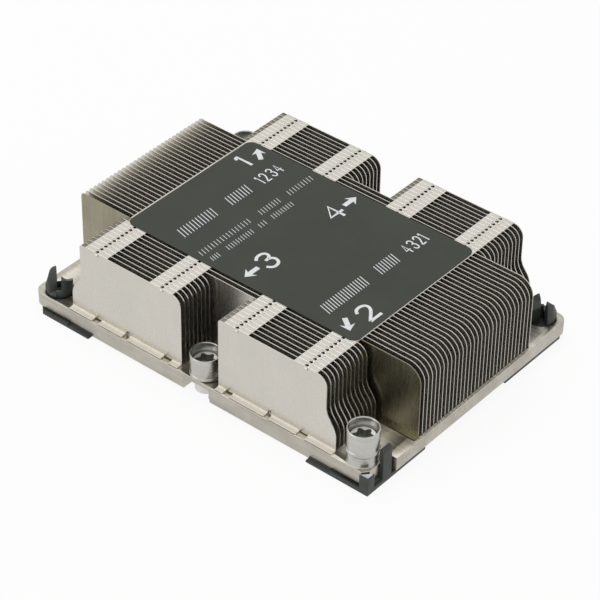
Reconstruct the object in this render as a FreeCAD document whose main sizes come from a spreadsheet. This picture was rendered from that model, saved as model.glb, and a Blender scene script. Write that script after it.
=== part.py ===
import FreeCAD, Part
import math
import os
import re
import Sketcher

# A low passive heatsink for one large server processor.
# A nickel-plated base plate carries a pack of folded sheet fins that all face the length of the plate.
# Four captive nuts turn in sleeves at the plate's edge, and a black carrier is clipped underneath.
# X runs along the plate's length, Y along its width, and Z up from the carrier's underside.

# Driving sizes in millimetres.
SIZES = {
    "base_length": 108.0,
    "base_width": 78.0,
    "base_corner": 3.0,
    "end_thick": 3.7,
    "mid_drop": 1.25,
    "mid_inset": 12.2,
    "mid_edge": 0.3,
    "pad_length": 68.0,
    "pad_width": 48.0,
    "pad_height": 0.4,
    "contact_recess": 0.2,
    "web_thick": 1.25,
    "nut_inset_x": 6.0,
    "nut_inset_y": 3.9,
    "sleeve_outer": 8.1,
    "sleeve_wall": 0.55,
    "collar_step": 0.2,
    "cup_height": 6.25,
    "collar_height": 3.4,
    "spigot_outer": 6.6,
    "hole_air": 0.05,
    "nut_air": 0.08,
    "seat_air": 0.05,
    "face_drop": 2.5,
    "head_height": 3.0,
    "socket_across": 5.6,
    "socket_core": 3.9,
    "socket_depth": 2.4,
    "neck_outer": 5.1,
    "shank_outer": 5.6,
    "shank_reach": 4.7,
    "thread_bore": 3.3,
    "fin_thick": 0.3,
    "fin_height": 20.35,
    "fin_end_gap": 0.6,
    "fin_front_gap": 2.0,
    "fold_gap": 0.03,
    "small_round": 1.0,
    "right_round": 4.5,
    "block_round": 3.0,
    "corner_gap": 2.15,
    "middle_gap": 1.8,
    "flare_out": 3.1,
    "flare_low": 5.9,
    "flare_high": 9.9,
    "tab_outer_place": 32.78,
    "tab_inner_place": 11.78,
    "tab_shift": 0.5,
    "tab_width": 7.2,
    "slot_outer_place": 32.6,
    "slot_inner_place": 9.7,
    "slot_width": 2.4,
    "label_length": 71.8,
    "label_width": 46.6,
    "label_shift": 0.5,
    "label_shift_back": 0.2,
    "label_thick": 0.15,
    "label_round": 2.2,
    "carrier_thick": 1.2,
    "carrier_inset_x": 0.7,
    "carrier_out_y": 0.7,
    "window_air": 2.0,
    "ear_length": 19.2,
    "rail_depth": 8.5,
    "side_depth": 8.0,
    "side_long": 25.2,
    "side_short": 21.2,
    "relief_start": 9.2,
    "relief_end": 1.6,
    "post_side": 2.6,
    "post_drop": 0.1,
    "carrier_nut_hole": 7.6,
    "hook_thick": 1.15,
    "hook_width": 3.2,
    "hook_air": 1.0,
    "hook_clear": 0.15,
    "hook_rise": 4.5,
    "hook_slope": 0.5,
    "latch_inset_x": 5.4,
    "latch_inset_y": 4.3,
    "latch_hole": 7.5,
    "latch_air": 0.15,
    "latch_wall": 1.15,
    "barb_out": 0.4,
    "barb_air": 0.15,
    "wall_rise": 1.0,
    "tall_prong": 5.7,
    "low_prong": 5.0,
    "prong_lean": 0.9,
    "prong_angle": 95.0,
}

# The pack has 53 rows of fins from front to back.
# Most top corners are rounded in straight cuts, and the full-length fins' top tabs, which the label
# covers, are left out, to keep the facets few.
BLOCK_ROWS = 8
BRIDGE_ROWS = 3
FULL_ROWS = 31
ALL_ROWS = 2 * (BLOCK_ROWS + BRIDGE_ROWS) + FULL_ROWS
SOCKET_POINTS = 6
SMALL_CUTS = 1
BLOCK_CUTS = 3

# Levels and places that several pieces share, worked out from the sizes.
UNDERSIDE_MID = "(contact_recess + pad_height)"
UNDERSIDE_END = f"({UNDERSIDE_MID} + mid_drop)"
BASE_TOP = f"({UNDERSIDE_END} + end_thick)"
FIN_TOP = f"({BASE_TOP} + fin_height)"
PITCH = f"((base_width - fin_front_gap) / {ALL_ROWS - 1})"
NUT_X = "(base_length / 2 - nut_inset_x)"
NUT_Y = "(base_width / 2 - nut_inset_y)"
SLEEVE_R = "(sleeve_outer / 2)"
CUP_R = f"({SLEEVE_R} - sleeve_wall)"
HEAD_R = f"({CUP_R} - nut_air)"
SHANK_R = "(shank_outer / 2)"
SPIGOT_R = "(spigot_outer / 2)"
SEAT = "(cup_height - face_drop - head_height)"
FULL_END = "(base_length / 2 - fin_end_gap)"
BLOCK_FOOT = f"({NUT_X} - {SLEEVE_R} - corner_gap)"
BLOCK_END = f"({BLOCK_FOOT} - flare_out)"
BLOCK_INNER = f"({SLEEVE_R} + middle_gap)"
CARRIER_X = "(base_length / 2 - carrier_inset_x)"
CARRIER_Y = "(base_width / 2 + carrier_out_y)"
LATCH_X = "(base_length / 2 - latch_inset_x)"
LATCH_Y = "(base_width / 2 - latch_inset_y)"
LATCH_R = "(latch_hole / 2 - latch_air)"

doc = FreeCAD.newDocument("heatsink")
sheet = doc.addObject("Spreadsheet::Sheet", "Sizes")
for line, (alias, size) in enumerate(SIZES.items(), 1):
    sheet.set(f"A{line}", alias)
    sheet.set(f"B{line}", str(size))
    sheet.setAlias(f"B{line}", alias)
gauge = doc.addObject("App::FeaturePython", "Gauge")
gauge.addProperty("App::PropertyFloat", "Reading")
doc.recompute()

ALIAS = re.compile(r"\b(" + "|".join(SIZES) + r")\b")
sub_parts = []


def bound(expression):
    """The expression with every size taken from the sheet."""
    return ALIAS.sub(r"Sizes.\1", expression)


def reading(expression):
    """The expression's present value, used only to start a sketch near its shape."""
    gauge.setExpression("Reading", bound(expression))
    gauge.recompute()
    return gauge.Reading


def new_body(label, x="0", y="0", z="0", turn=0):
    """An empty body that becomes one named sub-part."""
    body = doc.addObject("PartDesign::Body", label)
    body.Label = label
    body.AllowCompound = True
    body.Placement = FreeCAD.Placement(FreeCAD.Vector(), FreeCAD.Rotation(FreeCAD.Vector(0, 0, 1), turn))
    body.setExpression("Placement.Base.x", bound(x))
    body.setExpression("Placement.Base.y", bound(y))
    body.setExpression("Placement.Base.z", bound(z))
    sub_parts.append(body)
    return body


def new_sketch(body, name, plane="XY_Plane", level="0"):
    """A sketch on one of the body's own origin planes, raised along the plane's normal."""
    sketch = body.newObject("Sketcher::SketchObject", f"{body.Name}_{name}")
    support = next(item for item in body.Origin.OriginFeatures if item.Role == plane)
    sketch.AttachmentSupport = (support, "")
    sketch.MapMode = "FlatFace"
    sketch.setExpression("AttachmentOffset.Base.z", bound(level))
    return sketch


def pin_point(sketch, line, end, x, y):
    """Ties one end of a line, or a centre, to the sheet."""
    for kind, place in (("DistanceX", x), ("DistanceY", y)):
        index = sketch.addConstraint(Sketcher.Constraint(kind, -1, 1, line, end, reading(place)))
        sketch.setExpression(f"Constraints[{index}]", bound(place))


def draw_outline(sketch, corners):
    """Draws a closed outline. A corner is (x, y), or (x, y, radius) where a square corner is rounded."""
    count = len(corners)
    spots = [(reading(corner[0]), reading(corner[1])) for corner in corners]
    starts = []
    ends = []
    centres = {}
    for index, corner in enumerate(corners):
        if len(corner) == 2:
            starts.append(corner)
            ends.append(corner)
            continue
        x, y, radius = corner
        before = spots[index - 1]
        after = spots[(index + 1) % count]
        here = spots[index]
        inward = []
        for axis in (0, 1):
            step = (before[axis] - here[axis]) + (after[axis] - here[axis])
            inward.append("+" if step > 0 else "-")
        inner_x = f"({x} {inward[0]} {radius})"
        inner_y = f"({y} {inward[1]} {radius})"
        along_x = abs(before[1] - here[1]) < 1e-6
        ends.append((inner_x, y) if along_x else (x, inner_y))
        starts.append((x, inner_y) if along_x else (inner_x, y))
        centres[index] = (inner_x, inner_y)
    lines = []
    for index in range(count):
        after = (index + 1) % count
        first = FreeCAD.Vector(reading(starts[index][0]), reading(starts[index][1]), 0)
        last = FreeCAD.Vector(reading(ends[after][0]), reading(ends[after][1]), 0)
        lines.append(sketch.addGeometry(Part.LineSegment(first, last)))
    for index in range(count):
        pin_point(sketch, lines[index], 1, *starts[index])
        if index not in centres:
            sketch.addConstraint(Sketcher.Constraint("Coincident", lines[index - 1], 2, lines[index], 1))
            continue
        pin_point(sketch, lines[index - 1], 2, *ends[index])
        draw_corner_arc(sketch, lines[index - 1], lines[index], ends[index], starts[index], centres[index])


def draw_corner_arc(sketch, line_in, line_out, first, last, centre):
    """The quarter arc between two lines that meet at a rounded corner."""
    middle = FreeCAD.Vector(reading(centre[0]), reading(centre[1]), 0)
    one = FreeCAD.Vector(reading(first[0]), reading(first[1]), 0) - middle
    two = FreeCAD.Vector(reading(last[0]), reading(last[1]), 0) - middle
    turns_left = one.x * two.y - one.y * two.x > 0
    begin, finish = (one, two) if turns_left else (two, one)
    circle = Part.Circle(middle, FreeCAD.Vector(0, 0, 1), one.Length)
    angles = [math.atan2(spoke.y, spoke.x) for spoke in (begin, finish)]
    arc = sketch.addGeometry(Part.ArcOfCircle(circle, angles[0], angles[1]))
    in_end, out_end = (1, 2) if turns_left else (2, 1)
    sketch.addConstraint(Sketcher.Constraint("Coincident", line_in, 2, arc, in_end))
    sketch.addConstraint(Sketcher.Constraint("Coincident", line_out, 1, arc, out_end))
    index = sketch.addConstraint(Sketcher.Constraint("DistanceX", -1, 1, arc, 3, middle.x))
    sketch.setExpression(f"Constraints[{index}]", bound(centre[0]))


def draw_box(sketch, left, right, front, back, radius=None):
    """Draws a rectangle between four places, with its corners rounded where a radius is given."""
    spots = [(left, front), (right, front), (right, back), (left, back)]
    draw_outline(sketch, [spot + (radius,) if radius else spot for spot in spots])


def draw_circle(sketch, x, y, radius):
    """Draws a circle tied to the sheet."""
    centre = FreeCAD.Vector(reading(x), reading(y), 0)
    circle = sketch.addGeometry(Part.Circle(centre, FreeCAD.Vector(0, 0, 1), reading(radius)))
    pin_point(sketch, circle, 3, x, y)
    index = sketch.addConstraint(Sketcher.Constraint("Radius", circle, reading(radius)))
    sketch.setExpression(f"Constraints[{index}]", bound(radius))


def extrude(body, kind, sketch, length, backwards=False):
    """A Pad or a Pocket of the sketch."""
    feature = body.newObject(f"PartDesign::{kind}", f"{sketch.Name}_{kind}")
    feature.Profile = sketch
    feature.setExpression("Length", bound(length))
    feature.Reversed = backwards
    return feature


def cut_through(body, sketch):
    """Cuts the sketch through the whole body, both ways."""
    feature = body.newObject("PartDesign::Pocket", f"{sketch.Name}_cut")
    feature.Profile = sketch
    feature.Type = "ThroughAll"
    feature.Midplane = True
    return feature


def revolve(body, kind, sketch):
    """A Revolution or a Groove of the sketch about the body's upright axis."""
    feature = body.newObject(f"PartDesign::{kind}", f"{sketch.Name}_{kind}")
    feature.Profile = sketch
    feature.ReferenceAxis = (sketch, ["V_Axis"])
    feature.Angle = 360.0
    return feature


def repeat_rows(body, sketch, features, count):
    """Repeats the features towards the front, one row apart."""
    pattern = body.newObject("PartDesign::LinearPattern", f"{sketch.Name}_rows")
    pattern.Originals = features
    pattern.Direction = (sketch, ["N_Axis"])
    pattern.setExpression("Length", bound(f"{PITCH} * {count - 1}"))
    pattern.Occurrences = count
    body.Tip = pattern
    return pattern


def base_plate():
    """The plate: thick in the middle, thinner at both ends, with a raised contact pad underneath."""
    body = new_body("base_plate")
    half_x = "base_length / 2"
    half_y = "base_width / 2"
    sketch = new_sketch(body, "outline", level=UNDERSIDE_END)
    draw_box(sketch, f"-{half_x}", half_x, f"-{half_y}", half_y, "base_corner")
    extrude(body, "Pad", sketch, "end_thick")
    mid_x = f"({half_x} - mid_inset)"
    mid_y = f"({half_y} - mid_edge)"
    sketch = new_sketch(body, "middle", level=UNDERSIDE_END)
    draw_box(sketch, f"-{mid_x}", mid_x, f"-{mid_y}", mid_y)
    extrude(body, "Pad", sketch, "mid_drop", backwards=True)
    sketch = new_sketch(body, "contact", level=UNDERSIDE_MID)
    draw_box(sketch, "-pad_length / 2", "pad_length / 2", "-pad_width / 2", "pad_width / 2")
    extrude(body, "Pad", sketch, "pad_height", backwards=True)
    # Each middle nut hangs below a thin web, in a notch that is open to the edge.
    notch_half = f"({SLEEVE_R} + hole_air)"
    notch_end = f"({NUT_Y} - {notch_half})"
    for side, sign in (("front", "-"), ("back", "")):
        sketch = new_sketch(body, f"{side}_notch", level="contact_recess")
        edges = [f"{sign}{half_y} {sign or '+'} 1", f"{sign}{notch_end}"]
        if not sign:
            edges.reverse()
        draw_box(sketch, f"-{notch_half}", notch_half, edges[0], edges[1])
        extrude(body, "Pocket", sketch, f"{BASE_TOP} - web_thick - contact_recess", backwards=True)
    sketch = new_sketch(body, "nut_holes")
    for x, y in ((NUT_X, f"-{NUT_Y}"), (f"-{NUT_X}", NUT_Y), ("0", f"-{NUT_Y}"), ("0", NUT_Y)):
        draw_circle(sketch, x, y, f"{SPIGOT_R} + hole_air")
    for x, y in ((LATCH_X, LATCH_Y), (f"-{LATCH_X}", f"-{LATCH_Y}")):
        draw_circle(sketch, x, y, "latch_hole / 2")
    cut_through(body, sketch)
    # Two opposite corners are cut back for the carrier's posts and side hooks.
    inner_x = f"({CARRIER_X} - hook_thick - hook_clear)"
    inner_y = f"({half_y} - relief_end)"
    start_y = f"({half_y} - relief_start)"
    slant_x = f"(({half_x} + {inner_x} + carrier_inset_x) / 2 - post_side)"
    sketch = new_sketch(body, "reliefs")
    relief = [
        (inner_x, f"-{start_y}"),
        (inner_x, f"-{inner_y}"),
        (slant_x, f"-{half_y}"),
        (slant_x, f"-{half_y} - 1"),
        (f"{half_x} + 1", f"-{half_y} - 1"),
        (f"{half_x} + 1", f"-{start_y}"),
    ]
    draw_outline(sketch, relief)
    draw_outline(sketch, [(f"-({x})", f"-({y})") for x, y in relief])
    cut_through(body, sketch)


def cut_corner(x, inward, radius, cuts):
    """A top corner rounded in a few straight cuts, from the fin's end up to its top edge."""
    points = []
    for index in range(cuts + 1):
        angle = 90 * index / cuts
        points.append((f"({x} {inward} {radius} * (1 - cos({angle} deg)))",
                       f"(fin_height - {radius} * (1 - sin({angle} deg)))"))
    return points


def full_outline():
    """The outline of a fin that runs the whole length, square at the left and rounded at the right."""
    return [
        (f"-{FULL_END}", "0"),
        (FULL_END, "0"),
        (FULL_END, "fin_height", "right_round"),
        *reversed(cut_corner(f"-{FULL_END}", "+", "small_round", SMALL_CUTS)),
    ]


def flare(sign):
    """The two corners where a short fin widens towards the plate, from the foot up."""
    return [(f"{sign}{BLOCK_FOOT}", "flare_low"), (f"{sign}{BLOCK_END}", "flare_high")]


def bridge_outline():
    """The outline of a fin that stands between the corner nuts but bridges the middle one's gap."""
    return [
        (f"-{BLOCK_FOOT}", "0"),
        (BLOCK_FOOT, "0"),
        *flare(""),
        *cut_corner(BLOCK_END, "-", "block_round", BLOCK_CUTS),
        *reversed(cut_corner(f"-{BLOCK_END}", "+", "small_round", SMALL_CUTS)),
        *reversed(flare("-")),
    ]


def left_outline():
    """The outline of a short fin on the left of the middle nuts."""
    return [
        (f"-{BLOCK_FOOT}", "0"),
        (f"-{BLOCK_INNER}", "0"),
        *cut_corner(f"-{BLOCK_INNER}", "-", "block_round", BLOCK_CUTS),
        *reversed(cut_corner(f"-{BLOCK_END}", "+", "small_round", SMALL_CUTS)),
        *reversed(flare("-")),
    ]


def right_outline():
    """The outline of a short fin on the right of the middle nuts."""
    return [
        (BLOCK_INNER, "0"),
        (BLOCK_FOOT, "0"),
        *flare(""),
        *cut_corner(BLOCK_END, "-", "block_round", BLOCK_CUTS),
        *reversed(cut_corner(BLOCK_INNER, "+", "small_round", SMALL_CUTS)),
    ]


def fin_stack(label, last_row, count, outline, foot_ends, tabs, slots=()):
    """Fins one row apart, each a sheet with a foot and top tabs folded forward to the sheet before it."""
    body = new_body(label, y=f"base_width / 2 - {PITCH} * {ALL_ROWS - last_row}", z=BASE_TOP)
    plate = new_sketch(body, "sheet", "XZ_Plane")
    draw_outline(plate, outline)
    wall = extrude(body, "Pad", plate, "fin_thick")
    foot_sketch = new_sketch(body, "foot", "XZ_Plane")
    draw_box(foot_sketch, *foot_ends, "0", "fin_thick")
    foot = extrude(body, "Pad", foot_sketch, f"{PITCH} - fold_gap")
    if count > 1:
        repeat_rows(body, plate, [wall, foot], count)
    if tabs:
        tab_sketch = new_sketch(body, "tabs", "XZ_Plane")
        for place in tabs:
            left = f"{place} - tab_width / 2"
            right = f"{place} + tab_width / 2"
            draw_box(tab_sketch, left, right, "fin_height - fin_thick", "fin_height")
        top = extrude(body, "Pad", tab_sketch, f"{PITCH} - fold_gap")
        if count > 1:
            # The foremost sheet of the whole pack has nothing in front of it, so it has no tabs.
            repeat_rows(body, tab_sketch, [top], count - 1 if slots else count)
    if slots:
        # Only the foremost foot shows its slots, so the others go without.
        doc.recompute()
        front = new_sketch(body, "slots", "XZ_Plane", level=f"{PITCH} * {count - 1} + fin_thick")
        for place in slots:
            draw_box(front, f"{place} - slot_width / 2", f"{place} + slot_width / 2", "0", "fin_thick")
        extrude(body, "Pocket", front, PITCH, backwards=True)


def fin_pack():
    """All fins: four short blocks, two groups that bridge the middle, and the full-length rows."""
    left_tabs = ["(-tab_outer_place - tab_shift)", "(-tab_inner_place - tab_shift)"]
    right_tabs = ["(tab_inner_place - tab_shift)", "(tab_outer_place - tab_shift)"]
    left_slots = ["-slot_outer_place", "-slot_inner_place"]
    right_slots = ["slot_inner_place", "slot_outer_place"]
    left = (left_outline(), (f"-{BLOCK_FOOT}", f"-{BLOCK_INNER}"), left_tabs)
    right = (right_outline(), (BLOCK_INNER, BLOCK_FOOT), right_tabs)
    fin_stack("fins_front_left", BLOCK_ROWS, BLOCK_ROWS, *left, left_slots)
    fin_stack("fins_front_right", BLOCK_ROWS, BLOCK_ROWS, *right, right_slots)
    fin_stack("fins_back_left", ALL_ROWS, BLOCK_ROWS, *left)
    fin_stack("fins_back_right", ALL_ROWS, BLOCK_ROWS, *right)
    full_start = BLOCK_ROWS + BRIDGE_ROWS
    bridge_foot = (f"-{BLOCK_FOOT}", BLOCK_FOOT)
    for side, start in (("front", BLOCK_ROWS), ("back", full_start + FULL_ROWS)):
        for index in range(1, BRIDGE_ROWS + 1):
            label = f"fin_bridge_{side}_{index}"
            fin_stack(label, start + index, 1, bridge_outline(), bridge_foot, left_tabs + right_tabs)
    full_foot = (f"-{FULL_END}", FULL_END)
    for index in range(1, FULL_ROWS + 1):
        fin_stack(f"fin_full_{index:02d}", full_start + index, 1, full_outline(), full_foot, [])


def label_film():
    """The film stuck over the full-length rows."""
    body = new_body("label", x="-label_shift", y="label_shift_back", z=FIN_TOP)
    sketch = new_sketch(body, "outline")
    half_x = "label_length / 2"
    half_y = "label_width / 2"
    draw_box(sketch, f"-{half_x}", half_x, f"-{half_y}", half_y, "label_round")
    extrude(body, "Pad", sketch, "label_thick")


def nut_sleeves(places):
    """The turned sleeves: each a thin cup for a nut's head, and on a collar where it is a tall one."""
    body = new_body("nut_sleeves", z=BASE_TOP)
    bore = "(neck_outer / 2 + nut_air)"
    collar_r = f"({SLEEVE_R} - collar_step)"
    for number, x, y, collar, spigot_length in places:
        rim = f"({collar} + cup_height)"
        section = [(bore, f"-({spigot_length})"), (SPIGOT_R, f"-({spigot_length})"), (SPIGOT_R, "0")]
        if collar == "0":
            section.append((SLEEVE_R, "0"))
        else:
            section += [(collar_r, "0"), (collar_r, collar), (SLEEVE_R, collar)]
        section += [
            (SLEEVE_R, rim),
            (CUP_R, rim),
            (CUP_R, f"({collar} + {SEAT})"),
            (bore, f"({collar} + {SEAT})"),
        ]
        sketch = new_sketch(body, f"section_{number}", "XZ_Plane", level=f"-({y})")
        sketch.setExpression("AttachmentOffset.Base.x", bound(x))
        draw_outline(sketch, section)
        revolve(body, "Revolution", sketch)


def captive_nut(number, x, y, collar, spigot_length):
    """A nut with a star socket in its head, a threaded bore, and a shank upset wider below its sleeve."""
    body = new_body(f"captive_nut_{number}", x=x, y=y, z=BASE_TOP)
    bore = "(thread_bore / 2)"
    seat = f"({collar} + {SEAT} + seat_air)"
    face = f"({collar} + cup_height - face_drop)"
    upset = f"(-({spigot_length}) - nut_air)"
    sketch = new_sketch(body, "section", "XZ_Plane")
    draw_outline(sketch, [
        (bore, "-shank_reach"),
        (SHANK_R, "-shank_reach"),
        (SHANK_R, upset),
        ("(neck_outer / 2)", upset),
        ("(neck_outer / 2)", seat),
        (HEAD_R, seat),
        (HEAD_R, face),
        (bore, face),
    ])
    revolve(body, "Revolution", sketch)
    socket = new_sketch(body, "socket", level=face)
    star = []
    for index in range(SOCKET_POINTS):
        for size, turn in (("socket_across", 0), ("socket_core", 0.5)):
            angle = 360 * (index + turn) / SOCKET_POINTS
            star.append((f"({size} / 2 * cos({angle} deg))", f"({size} / 2 * sin({angle} deg))"))
    draw_outline(socket, star)
    extrude(body, "Pocket", socket, "socket_depth")


def fasteners():
    """Four captive nuts in their sleeves: two tall at opposite corners, two low in the middle."""
    places = (
        ("1", f"-{NUT_X}", NUT_Y, "collar_height", "end_thick"),
        ("2", NUT_X, f"-{NUT_Y}", "collar_height", "end_thick"),
        ("3", "0", f"-{NUT_Y}", "0", "web_thick"),
        ("4", "0", NUT_Y, "0", "web_thick"),
    )
    nut_sleeves(places)
    for place in places:
        captive_nut(*place)


def opposite(points):
    """The same outline on the other side of the middle, because the carrier looks alike both ways round."""
    return [(f"-({x})", f"-({y})") for x, y in points]


def carrier_outline():
    """Half of the carrier's outline, from the front recess round to the back one."""
    ear = "(base_length / 2 - ear_length)"
    rail = "(base_width / 2 - rail_depth)"
    side = "(base_length / 2 - side_depth)"
    return [
        (ear, f"-{rail}"),
        (ear, f"-{CARRIER_Y}"),
        (CARRIER_X, f"-{CARRIER_Y}"),
        (CARRIER_X, "-(base_width / 2 - side_short)"),
        (side, "-(base_width / 2 - side_short)"),
        (side, "(base_width / 2 - side_long)"),
        (CARRIER_X, "(base_width / 2 - side_long)"),
        (CARRIER_X, f"({CARRIER_Y} - base_corner)"),
        (f"({CARRIER_X} - base_corner)", CARRIER_Y),
        (ear, CARRIER_Y),
        (ear, rail),
    ]


def carrier():
    """The moulded carrier: an open frame with corner posts, side hooks and two split latches."""
    body = new_body("carrier")
    plan = new_sketch(body, "plan")
    half = carrier_outline()
    draw_outline(plan, half + opposite(half))
    extrude(body, "Pad", plan, "carrier_thick")
    # Only the ends keep that thickness: the plate's thick middle comes lower.
    thin = new_sketch(body, "thinner_middle", level="carrier_thick")
    thin_x = "(base_length / 2 - mid_inset + seat_air)"
    draw_box(thin, f"-{thin_x}", thin_x, "-base_width / 2 - 1", "base_width / 2 + 1")
    extrude(body, "Pocket", thin, f"carrier_thick - {UNDERSIDE_MID}")
    holes = new_sketch(body, "holes")
    window_x = "(pad_length / 2 + window_air)"
    window_y = "(pad_width / 2 + window_air)"
    draw_box(holes, f"-{window_x}", window_x, f"-{window_y}", window_y)
    draw_circle(holes, NUT_X, f"-{NUT_Y}", "carrier_nut_hole / 2")
    draw_circle(holes, f"-{NUT_X}", NUT_Y, "carrier_nut_hole / 2")
    cut_through(body, holes)
    posts = new_sketch(body, "posts")
    post = [
        (f"({CARRIER_X} - post_side)", f"-{CARRIER_Y}"),
        (CARRIER_X, f"-{CARRIER_Y}"),
        (CARRIER_X, f"-({CARRIER_Y} - post_side)"),
    ]
    draw_outline(posts, post)
    draw_outline(posts, opposite(post))
    extrude(body, "Pad", posts, f"{BASE_TOP} - post_drop")
    side_hooks(body)
    for name, x, y in (("left", f"-{LATCH_X}", f"-{LATCH_Y}"), ("right", LATCH_X, LATCH_Y)):
        split_latch(body, name, x, y)


def side_hooks(body):
    """The upright hook beside each post, with its outer top edge sloped off."""
    outer = CARRIER_X
    inner = f"({outer} - hook_thick)"
    back = "(base_width / 2 - relief_start + hook_air)"
    top = f"({BASE_TOP} + hook_rise)"
    section = [
        (inner, "0"),
        (outer, "0"),
        (outer, f"{top} - hook_slope * 1.5"),
        (f"{outer} - hook_slope", top),
        (inner, top),
    ]
    for name, sign in (("front", "-"), ("back", "")):
        near = f"-({back} + hook_width)" if sign else back
        sketch = new_sketch(body, f"hook_{name}", "XZ_Plane", level=f"-({near})")
        points = section if sign else [(f"-({x})", z) for x, z in section]
        draw_outline(sketch, points)
        extrude(body, "Pad", sketch, "hook_width", backwards=True)


def turned_piece(body, name, kind, x, y, z, angle, height, lower, upper):
    """A cylinder or cone, or a sector of one, standing on the carrier and starting at the angle."""
    feature = body.newObject(f"PartDesign::{kind}", f"{body.Name}_{name}")
    plane = next(item for item in body.Origin.OriginFeatures if item.Role == "XY_Plane")
    feature.AttachmentSupport = (plane, "")
    feature.MapMode = "FlatFace"
    feature.AttachmentOffset = FreeCAD.Placement(
        FreeCAD.Vector(), FreeCAD.Rotation(FreeCAD.Vector(0, 0, 1), angle))
    feature.setExpression("AttachmentOffset.Base.x", bound(x))
    feature.setExpression("AttachmentOffset.Base.y", bound(y))
    feature.setExpression("AttachmentOffset.Base.z", bound(z))
    feature.setExpression("Height", bound(height))
    if upper is None:
        feature.setExpression("Radius", bound(lower))
    else:
        feature.setExpression("Radius1", bound(lower))
        feature.setExpression("Radius2", bound(upper))
    return feature


def split_latch(body, name, x, y):
    """A split ring that snaps through the plate: a low wall with two barbed prongs."""
    ring_top = f"{BASE_TOP} + wall_rise"
    turned_piece(body, f"{name}_ring", "AdditiveCylinder", x, y, "0", 0, ring_top, LATCH_R, None)
    barb_r = f"({LATCH_R} + barb_out)"
    barb_low = f"({BASE_TOP} + barb_air)"
    half = SIZES["prong_angle"] / 2
    for side, middle, rise in (("outer", 180, "tall_prong"), ("inner", 0, "low_prong")):
        prong = turned_piece(body, f"{name}_{side}_prong", "AdditiveCone", x, y, barb_low, middle - half,
                             f"{rise} - barb_air", barb_r, f"({barb_r} - prong_lean)")
        prong.setExpression("Angle", bound("prong_angle"))
    turned_piece(body, f"{name}_bore", "SubtractiveCylinder", x, y, "0", 0,
                 f"{BASE_TOP} + tall_prong + 1", f"({LATCH_R} - latch_wall)", None)


def check_document():
    """Stops if any object failed or any sub-part has no sound shape."""
    for item in doc.Objects:
        for word in ("Invalid", "Error"):
            if word in item.State:
                raise RuntimeError(f"{item.Name} is {word}")
    for body in sub_parts:
        if body.Shape.isNull() or not body.Shape.isValid():
            raise RuntimeError(f"{body.Label} has no sound shape")


base_plate()
fin_pack()
label_film()
fasteners()
carrier()
doc.recompute()
check_document()

os.makedirs("parts", exist_ok=True)
for body in sub_parts:
    body.Shape.exportStep(f"parts/{body.Label}.step")
print(len(sub_parts), "sub-parts written")
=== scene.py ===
import math

import bmesh
import bpy
from mathutils import Matrix, Vector


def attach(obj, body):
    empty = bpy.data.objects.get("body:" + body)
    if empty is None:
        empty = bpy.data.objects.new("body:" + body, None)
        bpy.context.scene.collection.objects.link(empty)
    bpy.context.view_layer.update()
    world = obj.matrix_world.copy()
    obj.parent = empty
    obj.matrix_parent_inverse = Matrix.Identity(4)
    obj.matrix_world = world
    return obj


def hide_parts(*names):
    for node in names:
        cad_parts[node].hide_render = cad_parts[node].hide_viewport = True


# A passive processor heatsink: plate, folded fins, sleeves with captive nuts, label and carrier.
# Lengths below are in millimetres, and each finished piece is brought to metres at its place.

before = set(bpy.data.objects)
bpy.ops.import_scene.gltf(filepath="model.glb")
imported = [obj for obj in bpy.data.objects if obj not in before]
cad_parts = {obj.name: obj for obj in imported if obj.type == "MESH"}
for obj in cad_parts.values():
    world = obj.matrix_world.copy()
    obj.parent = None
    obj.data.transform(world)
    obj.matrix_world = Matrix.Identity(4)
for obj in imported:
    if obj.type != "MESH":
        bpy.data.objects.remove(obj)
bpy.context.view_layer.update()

MM = 0.001
BASE_TOP = 5.55
FIN_HIGH = 20.35
SHEET = 0.3
PITCH = 76 / 52
FOLD_REACH = PITCH - SHEET
# Each nut's place along X and Y, the height of its sleeve's collar, and how far the spigot reaches down.
NUTS = {
    "1": (-48.0, 35.1, 3.4, 3.7),
    "2": (48.0, -35.1, 3.4, 3.7),
    "3": (0.0, -35.1, 0.0, 1.25),
    "4": (0.0, 35.1, 0.0, 1.25),
}


# Finishes

def linear(code):
    """A colour written as six hex digits, as the shader wants it."""
    parts = [int(code[i:i + 2], 16) / 255 for i in (0, 2, 4)]
    return [p / 12.92 if p <= 0.04045 else ((p + 0.055) / 1.055) ** 2.4 for p in parts] + [1.0]


def add(tree, kind, inputs=None, **settings):
    """One node with its settings, and its sockets set or linked."""
    made = tree.nodes.new("ShaderNode" + kind)
    for key, value in settings.items():
        setattr(made, key, value)
    for key, value in (inputs or {}).items():
        if isinstance(value, bpy.types.NodeSocket):
            tree.links.new(value, made.inputs[key])
        else:
            made.inputs[key].default_value = value
    return made


def blank_finish(name):
    """A material with an empty principled shader, and the object's own coordinates."""
    finish = bpy.data.materials.new(name)
    finish.use_nodes = True
    tree = finish.node_tree
    tree.nodes.clear()
    shader = add(tree, "BsdfPrincipled")
    out = add(tree, "OutputMaterial")
    tree.links.new(shader.outputs["BSDF"], out.inputs["Surface"])
    place = add(tree, "TexCoord").outputs["Object"]
    return finish, tree, shader, place


def stretched_noise(tree, place, stretch, scale, detail=3.0, rough=0.6):
    """Noise drawn out along the axes by the three stretch factors."""
    mapped = add(tree, "Mapping", {"Vector": place, "Scale": stretch})
    noise = add(tree, "TexNoise", {"Vector": mapped.outputs[0], "Scale": scale,
                                   "Detail": detail, "Roughness": rough})
    return noise.outputs["Fac"]


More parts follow.
